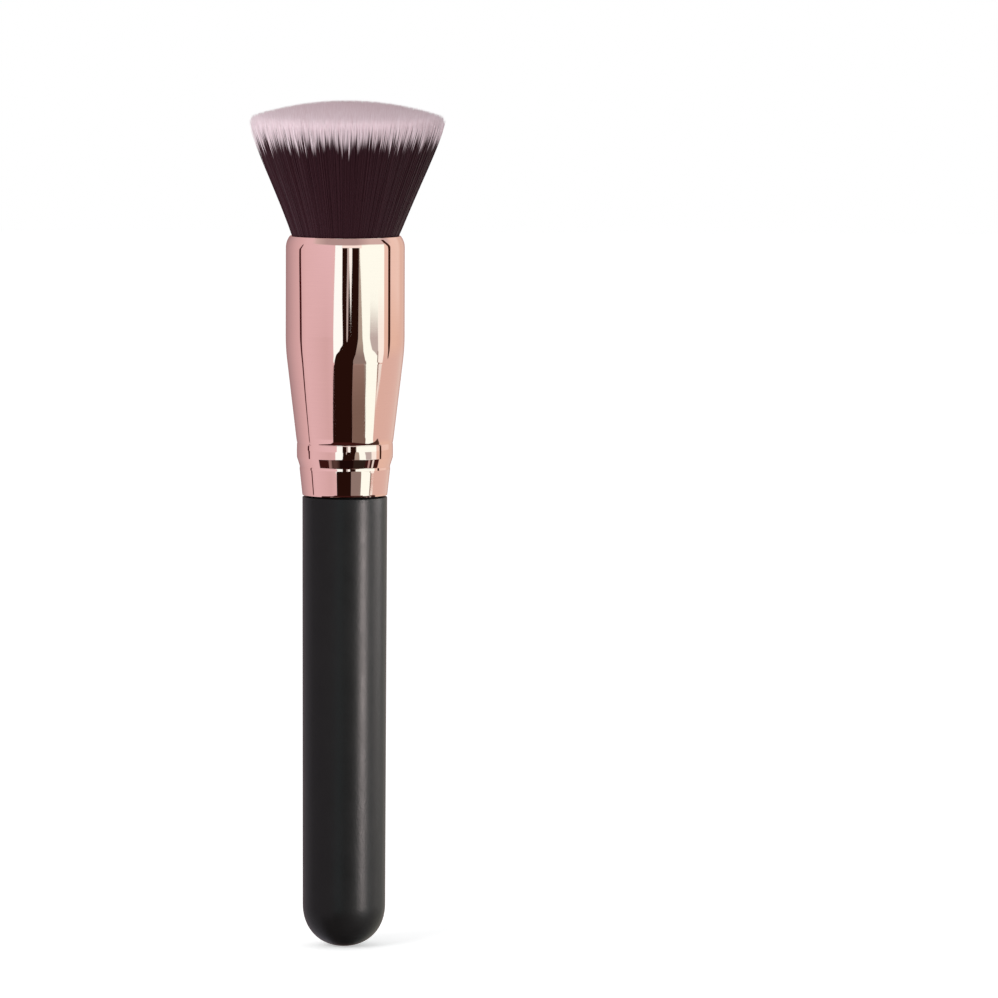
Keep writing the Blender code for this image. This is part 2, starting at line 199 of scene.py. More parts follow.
# The tone that the metal shows, the softness of the sides and of the ends, and knots of tilt, left side
# and right side from the highest tilt down. Upright metal has a tilt near 0 and the taper one near -7.
# A strip whose first or last tilt is ANY runs on beyond what the metal shows
strips = [
    ("bright right wall", (235, 190, 173), 6.0, 0.3, [(ANY, 0, 66), (0.22, 0, 66)]),
    ("dim left wall", (210, 161, 158), 22.0, 0.4, [(0.12, -28, -8), (-7.6, -28, -8)]),
    ("dim right wall", (218, 170, 155), 3.0, 4.0, [(-4.0, 35, 90), (-9.6, 35, 90)]),
    ("left lamp", (255, 251, 243), 0.4, 1.0, [
        (ANY, -8.7, -1.7), (0.32, -8.7, -1.8), (0.15, -10, -2), (0.04, -10.5, -1.3), (-1.3, -10.4, -1.3),
        (-1.8, -10.4, -1.6), (-2.6, -10.4, -3.5), (-3.45, -10.4, -4.7), (-4.3, -10.3, -7.4),
        (-5.1, -10.3, -8.4), (-6, -10.6, -9.2), (-6.6, -10.6, -9.5), (-6.63, -9.5, -9.5)]),
    ("right lamp", (255, 250, 235), 0.5, 1.0, [
        (ANY, 14, 42.5), (0.3, 14, 41.8), (0.1, 14, 41.8), (0.04, 14, 36), (-4.3, 18, 35.8),
        (-6.6, 20, 35.7), (-6.79, 20, 35.9), (-6.84, 20, 34.9), (-7.14, 24, 35.9), (-13, 24, 37.5)]),
    ("warm side of the lamp", (251, 232, 219), 0.8, 0.15, [
        (0.16, 34.6, 41.8), (-4.3, 35, 41.9), (-5.3, 35.2, 41.5), (-6.6, 35.4, 41), (-6.7, 35.6, 40.9),
        (-6.71, 35.7, 35.7), (-6.79, 35.9, 35.9), (-6.8, 36, 40.8), (-6.84, 36, 40.6),
        (-6.93, 36.5, 39.6), (-7, 36.2, 37.5), (-7.05, 36.2, 36.2)]),
    ("worn side of the lamp", (236, 214, 202), 0.6, 0.05, [
        (-6.84, 36, 40.3), (-6.93, 37, 39.5), (-6.98, 37, 38)]),
    ("lamp bridge", (252, 224, 212), 1.0, 1.0, [(18, -2, 17), (6, -2, 17)]),
    ("lamp seam", (189, 168, 160), 0.8, 0.12, [
        (0.1, 25.8, 34.3), (0.04, 25.5, 34.5), (-1.86, 26.9, 34.7), (-3.1, 28.2, 34.9), (-3.9, 31.5, 35),
        (-4.7, 33.6, 35.2)]),
    ("seam line", (138, 106, 94), 0.4, 0.06, [
        (-3.5, 34.3, 35.1), (-6.6, 34.3, 35.4), (-6.64, 35.3, 37.1), (-6.78, 35.5, 37.3),
        (-6.85, 34.7, 36), (-6.95, 35.8, 37.1)]),
    ("doorway", (36, 14, 9), 0.3, 1.0, [
        (7.2, -1.8, 14.3), (0.32, -1.8, 14.4), (0.15, -2, 14.1), (0.04, -1.3, 13.8), (-1.3, -1.3, 13.3),
        (-1.8, -1.6, 12.8), (-2.6, -3.5, 12.4), (-3.45, -4.7, 11.8), (-4.3, -7.4, 11.3),
        (-5.1, -8.4, 10.3), (-6, -9.2, 9.3), (-6.6, -9.5, 9), (-6.66, -9.5, 9.2), (-6.75, -9.5, 9.3),
        (-6.82, -9.9, 9), (-6.87, -10.3, 8.9), (-6.91, -11.3, 8.8), (-6.98, -11.9, 8.7),
        (-7.09, -13, 9.7), (-ANY, -13, 9.8)]),
    ("gap in the doorway", (187, 163, 155), 0.3, 0.2, [
        (7.2, 2.9, 4.8), (0.27, 2.9, 4.8), (0.15, 2.3, 4.1), (0.03, 2.3, 3.6), (-0.8, 2.5, 3.1)]),
    ("light in the gap", (252, 240, 230), 0.4, 0.06, [
        (7.2, 4.7, 7.6), (0.27, 4.7, 7.6), (0.2, 5.3, 7), (0.15, 5.7, 6.9), (0.11, 6, 6.7)]),
    ("lower door leaf", (121, 91, 79), 0.4, 1.0, [
        (-6.5, 9, 22.4), (-6.78, 9.4, 22.4), (-6.81, 9, 21.8), (-6.87, 8.9, 22.1), (-6.92, 8.7, 22.9),
        (-6.99, 8.7, 23.1), (-7.09, 9.7, 25), (-7.3, 9.8, 26), (-13, 9.8, 26)]),
    ("upper door leaf", (140, 115, 106), 0.4, 0.04, [
        *door_top, (-2.6, 12.4, 18.8), (-3.45, 11.8, 19), (-4.3, 11.3, 19.7), (-5.1, 10.3, 20.4),
        (-6, 9.3, 21.1), (-6.6, 9, 22.2), (-6.74, 9.3, 22.4)]),
    ("lit door leaf", (169, 146, 131), 0.4, 4.0, [*door_top, (-3.2, 12, 18.9)]),
    ("left lamp edge", (66, 16, 16), 0.3, 5.0, [
        (15, -45, -43.6), (9.7, -46.5, -44.8), (3.3, -48.3, -46.2), (0.43, -49.7, -46.9),
        (0.23, -48.9, -46.1), (0.05, -48.4, -45.6), (-1.8, -47.8, -45.5), (-6.84, -46.8, -44.9),
        (-7.05, -47, -45.4), (-7.2, -46.4, -45.2), (-11, -46.4, -45)]),
    ("overhead", (206, 169, 161), 6.0, 2.5, [(ANY, -31, 50), (19.5, -31, 50), (17, -24, 42)]),
    ("dark overhead", (174, 139, 134), 14.0, 2.0, [(ANY, -28, 20), (19, -24, 20), (15, -10, 16)]),
    ("right lamp edge", (54, 22, 8), 0.3, 0.6, [
        (32, 39.4, 42.9), (23, 41.6, 45.6), (16.5, 44.3, 48.4), (10, 46.5, 50.3), (0.39, 47, 50.2),
        (0.05, 47.1, 50.3), (-2.05, 47.1, 50.1), (-3.7, 47.6, 49.7), (-4.6, 47.4, 49),
        (-5.7, 47.3, 48.5)]),
    ("table", (58, 22, 19), 1.0, 0.6, [
        (-9.3, -13.2, 9.8), (-11.5, -16, 28), (-13.5, -32, 46.6), (-ANY, -32, 46.6)]),
    ("table corner", (72, 44, 34), 1.5, 0.3, [
        (-7.5, 42, 43.5), (-9.5, 38, 45.5), (-12, 29, 46.5), (-14, 24, 46.6)]),
    ("table leg", (45, 31, 25), 1.5, 1.0, [(-16, 11.5, 27), (-ANY, 11.5, 27)]),
    ("under the table", (28, 10, 8), 1.5, 1.0, [(-16, -14.8, 11.5), (-ANY, -14.8, 11.5)]),
    ("first chink", (150, 112, 106), 0.8, 1.0, [(-16, -18.9, -14.9), (-ANY, -18.9, -14.9)]),
    ("light under the first chink", (84, 56, 50), 5.0, 1.0, [(-16, -15, -7), (-ANY, -15, -7)]),
    ("second chink", (172, 132, 124), 0.8, 1.0, [(-16, 30.6, 33.2), (-ANY, 30.6, 33.2)]),
    ("third chink", (228, 206, 195), 0.8, 1.0, [(-16, 36.4, 39), (-ANY, 36.4, 39)]),
]
print(f"strips: {len(strips)}, with {sum(len(strip[4]) for strip in strips)} knots")

# %% [markdown]
# ## From angles to light
#
# The world shader knows the direction of each ray and nothing else. These helpers turn a direction into a
# turn and a tilt, test it against an edge, and give the light that a tone needs, since rose gold takes away
# much of the green and blue. At a grazing angle any metal mirrors white, and the tones allow for that.

# %% Room helpers


def toward(turn, tilt):
    """The unit direction of a turn to the right and a tilt upward, in degrees."""
    turn, tilt = math.radians(turn), math.radians(tilt)
    return (math.sin(turn) * math.cos(tilt), -math.cos(turn) * math.cos(tilt), math.sin(tilt))


def seen_in_metal(levels, turn=0.0):
    """The light that rose gold, turned this far from the viewer, makes into these sRGB levels."""
    grazing = (1 - math.cos(math.radians(turn))) ** 5
    mirrored = (tint + (1 - tint) * grazing for tint in ROSE_GOLD)
    return (*(linear(level) / tint for level, tint in zip(levels, mirrored)), 1.0)


def past(tree, angle, edge, softness):
    """Runs from 0 to 1 as an angle passes an edge."""
    return calc(tree, "MULTIPLY_ADD", calc(tree, "SUBTRACT", angle, edge), 1 / softness, 0.5, clamp=True)


def along_knots(tree, tilt, knots):
    """A value that runs through (tilt, value) knots, given from the highest tilt down."""
    value = float(knots[0][1])
    for (above, before), (below, after) in zip(knots, knots[1:]):
        if after != before:
            inputs = {"Value": tilt, "From Min": float(above), "From Max": float(below)}
            step = add(tree, "ShaderNodeMapRange", inputs).outputs[0]
            value = blend_values(tree, step, value, float(after))
    return value


def strip_mask(tree, turn, tilt, softness, fade, knots):
    tilts = [knot[0] for knot in knots]
    sides = []
    for side in (1, 2):
        edge = along_knots(tree, tilt, [(knot[0], knot[side]) for knot in knots])
        sides.append(past(tree, turn, edge, softness))
    mask = calc(tree, "SUBTRACT", *sides, clamp=True)
    if tilts[0] < ANY:
        below = calc(tree, "SUBTRACT", 1.0, past(tree, tilt, tilts[0], fade))
        mask = calc(tree, "MULTIPLY", mask, below)
    if tilts[-1] > -ANY:
        mask = calc(tree, "MULTIPLY", mask, past(tree, tilt, tilts[-1], fade))
    return mask


def wall_tones(tree, turn):
    """The light of the plain walls by the way the metal faces."""
    ramp = add(tree, "ShaderNodeValToRGB", {0: calc(tree, "MULTIPLY_ADD", turn, 1 / 180, 0.5)})
    stops = ramp.color_ramp.elements
    for stop, (angle, levels) in zip(stops, (walls[0], walls[-1])):
        stop.color = seen_in_metal(levels, angle)
    for angle, levels in walls[1:-1]:
        stops.new((angle + 90) / 180).color = seen_in_metal(levels, angle)
    return ramp.outputs[0]


def compass(tree, vector):
    """A vector's turn to the right and its tilt upward, in degrees."""
    axes = add(tree, "ShaderNodeSeparateXYZ", {0: vector}).outputs
    forward = calc(tree, "MULTIPLY", axes["Y"], -1.0)
    turn = calc(tree, "DEGREES", calc(tree, "ARCTAN2", axes["X"], forward))
    return turn, calc(tree, "DEGREES", calc(tree, "ARCSINE", axes["Z"]))


print("straight ahead is", toward(0, 0))

# %% [markdown]
# ## The mirrored room
#
# Walls and strips are mixed in turn into one colour, which glossy rays see. The camera sees plain white
# instead, and all other rays see an even soft light. The nodes come from a loop over the table, because
# twenty-eight strips by hand would be hard to change.

# %% The mirrored room
ROOM_LIGHT = 0.66
BEHIND_EDGE = 0.45
BEHIND_SOFTNESS = 0.3
WHITE = (1, 1, 1, 1)


def make_room():
    world = bpy.data.worlds.new("room")
    bpy.context.scene.world = world
    world.use_nodes = True
    tree = world.node_tree
    tree.nodes.clear()
    ray = add(tree, "ShaderNodeTexCoord").outputs["Generated"]
    inputs = {0: ray, 1: toward(VIEW_TURN, VIEW_TILT)}
    summed = add(tree, "ShaderNodeVectorMath", inputs, operation="ADD").outputs[0]
    halfway = add(tree, "ShaderNodeVectorMath", {0: summed}, operation="NORMALIZE").outputs[0]
    turn, tilt = compass(tree, halfway)
    seen = wall_tones(tree, turn)
    for name, levels, softness, fade, knots in strips:
        mask = strip_mask(tree, turn, tilt, softness, fade, knots)
        seen = blend_colours(tree, mask, seen, seen_in_metal(levels))

    # A ray that runs straight on from the viewer has no halfway direction, so it meets plain walls
    ray_turn = compass(tree, ray)[0]
    behind = wall_tones(tree, calc(tree, "MULTIPLY_ADD", ray_turn, 0.5, VIEW_TURN / 2))
    nearness = add(tree, "ShaderNodeVectorMath", {0: summed}, operation="LENGTH").outputs["Value"]
    seen = blend_colours(tree, past(tree, nearness, BEHIND_EDGE, BEHIND_SOFTNESS), behind, seen)

    rays = add(tree, "ShaderNodeLightPath").outputs
    soft_light, mirrored, backdrop = (
        add(tree, "ShaderNodeBackground", {"Color": tone, "Strength": strength}).outputs[0]
        for tone, strength in ((WHITE, ROOM_LIGHT), (seen, 1.0), (WHITE, 1.0))
    )
    lit = add(tree, "ShaderNodeMixShader", {0: rays["Is Glossy Ray"], 1: soft_light, 2: mirrored})
    out = add(tree, "ShaderNodeMixShader", {0: rays["Is Camera Ray"], 1: lit.outputs[0], 2: backdrop})
    add(tree, "ShaderNodeOutputWorld", {"Surface": out.outputs[0]})
    print(f"room: {len(strips)} strips, {len(tree.nodes)} nodes")


make_room()

# %% [markdown]
# ## Floor
#
# The photograph has a pure white ground with no horizon. Paper on a table would do, and a wide pale floor
# is the same. Only the camera sees its paler tone and its little glow, so that it looks white and still
# keeps the soft shadow under the brush, while it throws less light up at the handle.

# %% Floor
FLOOR_HALF = 3.0
FLOOR_GLOW = 0.46
FLOOR_TONE = 0.86
FLOOR_BOUNCE = 0.72
FLOOR_ROUGHNESS = 0.9


def make_floor():
    mesh = bpy.data.meshes.new("floor")
    corners = [(x * FLOOR_HALF, y * FLOOR_HALF, 0) for x, y in ((-1, -1), (1, -1), (1, 1), (-1, 1))]
    mesh.from_pydata(corners, [], [(0, 1, 2, 3)])
    floor = bpy.data.objects.new("floor", mesh)
    bpy.context.scene.collection.objects.link(floor)
    material = bpy.data.materials.new("pale_floor")
    material.use_nodes = True
    tree = material.node_tree
    shader = tree.nodes["Principled BSDF"]
    shader.inputs["Roughness"].default_value = FLOOR_ROUGHNESS
    shader.inputs["Emission Color"].default_value = WHITE
    by_camera = add(tree, "ShaderNodeLightPath").outputs["Is Camera Ray"]
    tone = blend_colours(tree, by_camera, (*[FLOOR_BOUNCE] * 3, 1), (*[FLOOR_TONE] * 3, 1))
    tree.links.new(tone, shader.inputs["Base Color"])
    tree.links.new(calc(tree, "MULTIPLY", by_camera, FLOOR_GLOW), shader.inputs["Emission Strength"])
    mesh.materials.append(material)
    floor.visible_glossy = False
    print(f"floor: {2 * FLOOR_HALF:.0f} m wide")


make_floor()

# %% [markdown]
# ## Lamps
#
# The key lamp stands at the left and front, because the bristles are paler there. At the right a narrow
# lamp makes the long highlight on the handle, and a broad one the soft light beside it. One more on each
# side lifts the head's shaded edges. A photographer keeps such light off the mirror between with black
# cards. Light linking does the same here, once the pieces are there.

# %% Lamps
# Name, place, the point it faces, size, watts and tint
lamp_plan = [
    ("key_lamp", (-0.75, -0.95, 0.75), (0, 0, 0.12), (0.6, 0.6), 7.2, (1, 1, 1)),
    ("handle_lamp", (0.425, -0.322, 0.031), (0, 0, 0.05), (0.088, 0.058), 3.5, (1, 1, 1)),
    ("side_lamp", (0.54, 0.1, 0.15), (0, 0, 0.06), (0.3, 0.28), 2.4, (1, 1, 1)),
    ("fill_lamp", (0.85, -0.27, 0.24), (0, 0, 0.145), (0.5, 0.5), 2.0, (1, 0.92, 0.92)),
    ("edge_lamp", (-0.9, 0.2, 0.29), (0, 0, 0.145), (0.4, 0.4), 2.0, (1, 1, 1)),
]


def make_lamp(name, place, aim, size, power, tint):
    data = bpy.data.lights.new(name, "AREA")
    data.shape = "RECTANGLE"
    data.size, data.size_y = size
    data.energy = power
    data.color = tint
    lamp = bpy.data.objects.new(name, data)
    lamp.location = place
    lamp.rotation_euler = (Vector(place) - Vector(aim)).to_track_quat("Z", "Y").to_euler()
    bpy.context.scene.collection.objects.link(lamp)
    lamp.visible_camera = False
    return lamp


def keep_light_on(pieces, *names):
    """Lets some lamps shine on these pieces alone."""
    group = bpy.data.collections.new(f"lit_by_{names[0]}")
    for piece in pieces:
        group.objects.link(piece)
    for name in names:
        lamps[name].light_linking.receiver_collection = group


lamps = {name: make_lamp(name, *plan) for name, *plan in lamp_plan}
lamps["key_lamp"].visible_glossy = False
print("lamps:", ", ".join(lamps))

# %% [markdown]
# ## A finish's small unevenness
#
# No real surface is one flat colour. Lacquer, metal, glue and thread all vary a little from spot to spot,
# in patches, or in rings where a lathe has turned them. Each material could have noise of its own. One node
# group, placed in every finish of the brush but the bristles', does it once: noise that can be squeezed
# along the axis into rings or drawn out into streaks. It puts out an uneven colour, a mask and a height.

# %% Unevenness group
FINE_RATIO = 4.3
FINE_SHARE = 0.35
COARSE_DETAIL = 3.0
FINE_DETAIL = 2.0
TONE_GAIN = 4.0


def make_unevenness():
    group = bpy.data.node_groups.new("unevenness", "ShaderNodeTree")
    sockets = group.interface
    for name, kind, value in (
        ("Color", "NodeSocketColor", (0.5, 0.5, 0.5, 1)),
        ("Grain Size", "NodeSocketFloat", 0.001),
        ("Rings", "NodeSocketFloat", 1.0),
        ("Tone Spread", "NodeSocketFloat", 0.1),
    ):
        sockets.new_socket(name=name, in_out="INPUT", socket_type=kind).default_value = value
    sockets.new_socket(name="Color", in_out="OUTPUT", socket_type="NodeSocketColor")
    for name in ("Mask", "Height"):
        sockets.new_socket(name=name, in_out="OUTPUT", socket_type="NodeSocketFloat")
    given = add(group, "NodeGroupInput").outputs
    place = add(group, "ShaderNodeTexCoord").outputs["Object"]
    squeeze = add(group, "ShaderNodeCombineXYZ", {"X": 1.0, "Y": 1.0, "Z": given["Rings"]}).outputs[0]
    squeezed = add(group, "ShaderNodeVectorMath", {0: place, 1: squeeze}, operation="MULTIPLY").outputs[0]
    scale = calc(group, "DIVIDE", 1.0, given["Grain Size"])
    inputs = {"Vector": squeezed, "Scale": scale, "Detail": COARSE_DETAIL}
    coarse = add(group, "ShaderNodeTexNoise", inputs).outputs[0]
    fine_scale = calc(group, "MULTIPLY", scale, FINE_RATIO)
    inputs = {"Vector": squeezed, "Scale": fine_scale, "Detail": FINE_DETAIL}
    fine = add(group, "ShaderNodeTexNoise", inputs).outputs[0]
    mask = blend_values(group, FINE_SHARE, coarse, fine)
    off_middle = calc(group, "SUBTRACT", mask, 0.5)
    spread = calc(group, "MULTIPLY", given["Tone Spread"], TONE_GAIN)
    tone = calc(group, "MULTIPLY_ADD", off_middle, spread, 1.0)
    inputs = {0: given["Color"], 1: tone}
    toned = add(group, "ShaderNodeVectorMath", inputs, operation="MULTIPLY").outputs[0]
    result = add(group, "NodeGroupOutput", {"Color": toned, "Mask": mask, "Height": coarse})
    print(f"unevenness: {len(group.nodes)} nodes, {len(result.inputs) - 1} outputs")
    return group


unevenness = make_unevenness()

# %% [markdown]
# ## From the group to a finish
#
# A finish is a colour, a roughness and a relief that vary together. Each material places the shared group
# with its own values and sends the results into its own shader. The mask's usual span is narrow, so a
# helper stretches it to the roughness that is wanted.

# %% Finish helpers
MASK_LOW, MASK_HIGH = 0.35, 0.65


def new_material(name):
    """A material with its node tree and shader."""
    material = bpy.data.materials.new(name)
    material.use_nodes = True
    return material, material.node_tree, material.node_tree.nodes["Principled BSDF"]


def uneven(tree, tone, grain_size, rings=1.0, tone_spread=0.1):
    inputs = {"Color": tone, "Grain Size": grain_size, "Rings": rings, "Tone Spread": tone_spread}
    node = add(tree, "ShaderNodeGroup", node_tree=unevenness)
    for key, value in inputs.items():
        node.inputs[key].default_value = value
    return node.outputs


def vary(tree, mask, low, high):
    """A value that runs from low to high with a mask's usual span."""
    inputs = {"Value": mask, "From Min": MASK_LOW, "From Max": MASK_HIGH, "To Min": low, "To Max": high}
    return add(tree, "ShaderNodeMapRange", inputs).outputs[0]


def set_finish(tree, shader, base, roughness, height=None, bump_distance=0.0):
    tree.links.new(base, shader.inputs["Base Color"])
    tree.links.new(roughness, shader.inputs["Roughness"])
    if height is not None:
        inputs = {"Height": height, "Strength": 1.0, "Distance": bump_distance}
        bump = add(tree, "ShaderNodeBump", inputs)
        tree.links.new(bump.outputs[0], shader.inputs["Normal"])


# %% [markdown]
# ## Turning outlines
#
# Handle and ferrule are both round, so each is an outline turned about the axis. The Screw modifier does
# that, as the CAD model did, but here with many more steps, because a mirror shows every facet. The outline
# also gets extra points on its long runs, so that smooth shading stays true there.

# %% Turning helpers
TURN_STEPS = 192
STEP_ALONG = 0.0005
MERGE_DISTANCE = 0.000005
MOST_ROUNDED_SHARE = 0.45


def arc(centre, radius, start, end, segments):
    """Points (radius from the axis, height) on an arc, with angles from the outward direction."""
    angles = (start + (end - start) * step / segments for step in range(segments + 1))
    return [(centre[0] + radius * math.cos(a), centre[1] + radius * math.sin(a)) for a in angles]


def rounded(corners, segments):
    """An outline whose corners (radius, height, rounding) are turned into short curves."""
    outline = [corners[0][:2]]
    for before, here, after in zip(corners, corners[1:], corners[2:]):
        to_before = Vector(before[:2]) - Vector(here[:2])
        to_after = Vector(after[:2]) - Vector(here[:2])
        bend = math.pi - to_before.angle(to_after)
        most = min(to_before.length, to_after.length) * MOST_ROUNDED_SHARE
        reach = min(here[2] * math.tan(bend / 2), most)
        if reach <= 0:
            outline.append(here[:2])
            continue
        middle = Vector(here[:2])
        start = middle + to_before.normalized() * reach
        end = middle + to_after.normalized() * reach
        for step in range(segments + 1):
            t = step / segments
            outline.append(tuple((1 - t) ** 2 * start + 2 * t * (1 - t) * middle + t * t * end))
    outline.append(corners[-1][:2])
    return outline


def filled(outline, spacing):
    """The outline with extra points on its long runs."""
    points = [outline[0]]
    for before, after in zip(outline, outline[1:]):
        run = math.dist(before, after)
        count = max(1, math.ceil(run / spacing))
        for step in range(1, count + 1):
            t = step / count
            points.append(tuple(b + (a - b) * t for b, a in zip(before, after)))
    return points


def turned(name, outline, height, material, steps=TURN_STEPS):
    """A piece turned about the Z axis from an outline that runs from its top down its outside."""
    mesh = bpy.data.meshes.new(name)
    points = [(radius, 0, z + height) for radius, z in outline]
    mesh.from_pydata(points, [(i, i + 1) for i in range(len(points) - 1)], [])
    mesh.materials.append(material)
    obj = bpy.data.objects.new(name, mesh)
    bpy.context.scene.collection.objects.link(obj)
    screw = obj.modifiers.new("Turn", "SCREW")
    screw.steps = screw.render_steps = steps
    screw.use_merge_vertices = True
    screw.merge_threshold = MERGE_DISTANCE
    screw.use_smooth_shade = True
    return obj


def dress(piece, slot, *nodes):
    """Puts a finished piece on the brush's one body, in place of CAD nodes. The slot is not used."""
    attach(piece, "root")
    if nodes:
        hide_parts(*nodes)


print(f"a turned piece has {TURN_STEPS} steps round, unless it is dull")

# %% [markdown]
# ## Black lacquer
#
# The handle's lacquer is a soft black that is matte to the eye, yet it mirrors enough to show one long soft
# highlight. A clear coat over a rough base would be one way. A middling roughness with a weak, slightly
# warm mirroring gives the same with less. Fine orange peel and faint patches come from the shared group.

# %% Black lacquer
PATCH_GRAIN = 0.012
PATCH_SPREAD = 0.2
PEEL_GRAIN = 0.0006
PEEL_HEIGHT = 0.00002
LACQUER_TONE = (21, 20, 20)
LACQUER_ROUGHNESS = (0.33, 0.39)
LACQUER_MIRRORING = 0.14
LACQUER_WARMTH = (1.0, 0.86, 0.84, 1.0)


def black_lacquer():
    material, tree, shader = new_material("black_lacquer")
    patches = uneven(tree, colour(*LACQUER_TONE), PATCH_GRAIN, tone_spread=PATCH_SPREAD)
    peel = uneven(tree, WHITE, PEEL_GRAIN)
    roughness = vary(tree, patches["Mask"], *LACQUER_ROUGHNESS)
    set_finish(tree, shader, patches["Color"], roughness, peel["Height"], PEEL_HEIGHT)
    shader.inputs["Specular IOR Level"].default_value = LACQUER_MIRRORING
    shader.inputs["Specular Tint"].default_value = LACQUER_WARMTH
    print(f"black lacquer: {len(tree.nodes)} nodes")
    return material


# %% [markdown]
# ## Handle
#
# The handle is turned wood: a straight grip, a hair thinner towards its domed end, and a spigot that hides
# in the ferrule. A cylinder and a sphere would meet in a visible line, so it is one outline. The dome's
# curve is a little fuller than an ellipse, as wood is after sanding and lacquering.

# %% Handle
GRIP_TOP_RADIUS = 0.00825
GRIP_LOW_RADIUS = 0.00805
DOME_LENGTH = 0.0083
DOME_POWER = 0.93
DOME_SEGMENTS = 28
BUTT_FLAT_RADIUS = 0.0009
SHOULDER_EDGE_ROUND = 0.0002
SHOULDER_EDGE_SEGMENTS = 5
SPIGOT_CHAMFER = 0.0007
HANDLE_STEP_ALONG = 0.003
DULL_TURN_STEPS = 128
FIT_GAP = 0.0003
WALL = 0.0005

handle_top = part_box("handle")[1].z
ferrule_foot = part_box("ferrule")[0].z
ferrule_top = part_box("ferrule")[1].z
grip_length = ferrule_foot - FIT_GAP


def make_handle():
    spigot = GRIP_TOP_RADIUS - WALL - FIT_GAP
    flat_angle = math.acos(BUTT_FLAT_RADIUS / GRIP_LOW_RADIUS)
    dome_centre = DOME_LENGTH * math.sin(flat_angle) ** DOME_POWER
    corners = [
        (0, handle_top, 0),
        (spigot - SPIGOT_CHAMFER, handle_top, 0),
        (spigot, handle_top - SPIGOT_CHAMFER, 0),
        (spigot, grip_length, 0),
        (GRIP_TOP_RADIUS, grip_length, SHOULDER_EDGE_ROUND),
        (GRIP_LOW_RADIUS, dome_centre, 0),
    ]
    outline = filled(rounded(corners, SHOULDER_EDGE_SEGMENTS), HANDLE_STEP_ALONG)
    for step in range(1, DOME_SEGMENTS + 1):
        angle = flat_angle * step / DOME_SEGMENTS
        radius = GRIP_LOW_RADIUS * math.cos(angle) ** DOME_POWER
        outline.append((radius, dome_centre - DOME_LENGTH * math.sin(angle) ** DOME_POWER))
    outline.append((0, 0))
    piece = turned("turned_handle", outline, 0, black_lacquer(), steps=DULL_TURN_STEPS)
    dress(piece, "handle_lacquer", "handle")
    print(f"handle: grip {grip_length * 1000:.1f} mm, {len(outline)} points in its outline")
    return piece


keep_light_on([make_handle()], "handle_lamp", "side_lamp")

# %% [markdown]
# ## Rose gold
#
# The ferrule's metal is polished and coloured like rose gold. A metal has no colour of its own but tints
# what it mirrors, so the shader is fully metallic and its base colour is the tint. Polishing on a lathe
# leaves hair-thin rings, which the shared group gives when it is squeezed along the axis.

# %% Rose gold
POLISH_GRAIN = 0.004
POLISH_RINGS = 30.0
POLISH_SPREAD = 0.02
POLISHED_ROUGHNESS = (0.01, 0.03)


def rose_gold():
    material, tree, shader = new_material("rose_gold")
    marks = uneven(tree, (*ROSE_GOLD, 1.0), POLISH_GRAIN, POLISH_RINGS, POLISH_SPREAD)
    set_finish(tree, shader, marks["Color"], vary(tree, marks["Mask"], *POLISHED_ROUGHNESS))
    shader.inputs["Metallic"].default_value = 1.0
    print(f"rose gold: {len(tree.nodes)} nodes")
    return material


# %% [markdown]
# ## The ferrule's outline
#
# The ferrule is a drawn tube. From its mouth down it has a rolled lip, a straight body, a taper, a crimp
# line, a flat band, a groove and a short skirt that meets the handle flush. Each could be a piece of its
# own, but the tube is one sheet, so it is one outline. In a mirror even a hundredth of a millimetre shows,
# which is why the band is a trace fuller in its middle and the shoulder is a long soft curve.

# %% Outline of the ferrule
SKIRT_HEIGHT = 0.00515
SKIRT_FLARE = 0.00056
GROOVE_HEIGHT = 0.00225
GROOVE_DEPTH = 0.00004
GROOVE_LOW_SHARE = 0.23
GROOVE_ROUND = 0.0006
BAND_HEIGHT = 0.0026
BAND_STEP = 0.00052
BAND_EDGE_ROUND = 0.0003
BAND_BARREL = 0.00003
BAND_BARREL_ROUND = 0.06
CRIMP_DEPTH = 0.00006
CRIMP_LEDGE = 0.00015
CRIMP_EDGE_ROUND = 0.00006
ROLL_LENGTH = 0.0019
ROLL_STEP = 0.00024
ROLL_POWER = 4
TAPER_LENGTH = 0.0166
BODY_LENGTH = 0.0195
FERRULE_RADIUS = 0.01155
SHOULDER_ROUND = 0.0400
LIP_BEND = 0.0036
LIP_TURN = math.radians(40)
SHEET_EDGE_ROUND = 0.00012
LIP_SEGMENTS = ROLL_SEGMENTS = 24
CORNER_SEGMENTS = 10

band_base = SKIRT_HEIGHT + GROOVE_HEIGHT
crimp_base = band_base + BAND_HEIGHT
taper_base = crimp_base + ROLL_LENGTH + CRIMP_LEDGE
body_base = taper_base + TAPER_LENGTH
lip_base = body_base + BODY_LENGTH
lip_centre_radius = FERRULE_RADIUS - LIP_BEND
skirt_top_radius = GRIP_TOP_RADIUS + SKIRT_FLARE
band_radius = skirt_top_radius + BAND_STEP
taper_radius = band_radius + ROLL_STEP


def roll_corners():
    """The taper's lower end, which rolls in ever more steeply to the crimp line."""
    straight_drop = (FERRULE_RADIUS - taper_radius) / TAPER_LENGTH * ROLL_LENGTH
    rolled_drop = taper_radius - straight_drop - (band_radius - CRIMP_DEPTH)
    corners = []
    for step in range(1, ROLL_SEGMENTS + 1):
        share = step / ROLL_SEGMENTS
        radius = taper_radius - straight_drop * share - rolled_drop * share**ROLL_POWER
        corners.append((radius, taper_base - ROLL_LENGTH * share, 0))
    return corners


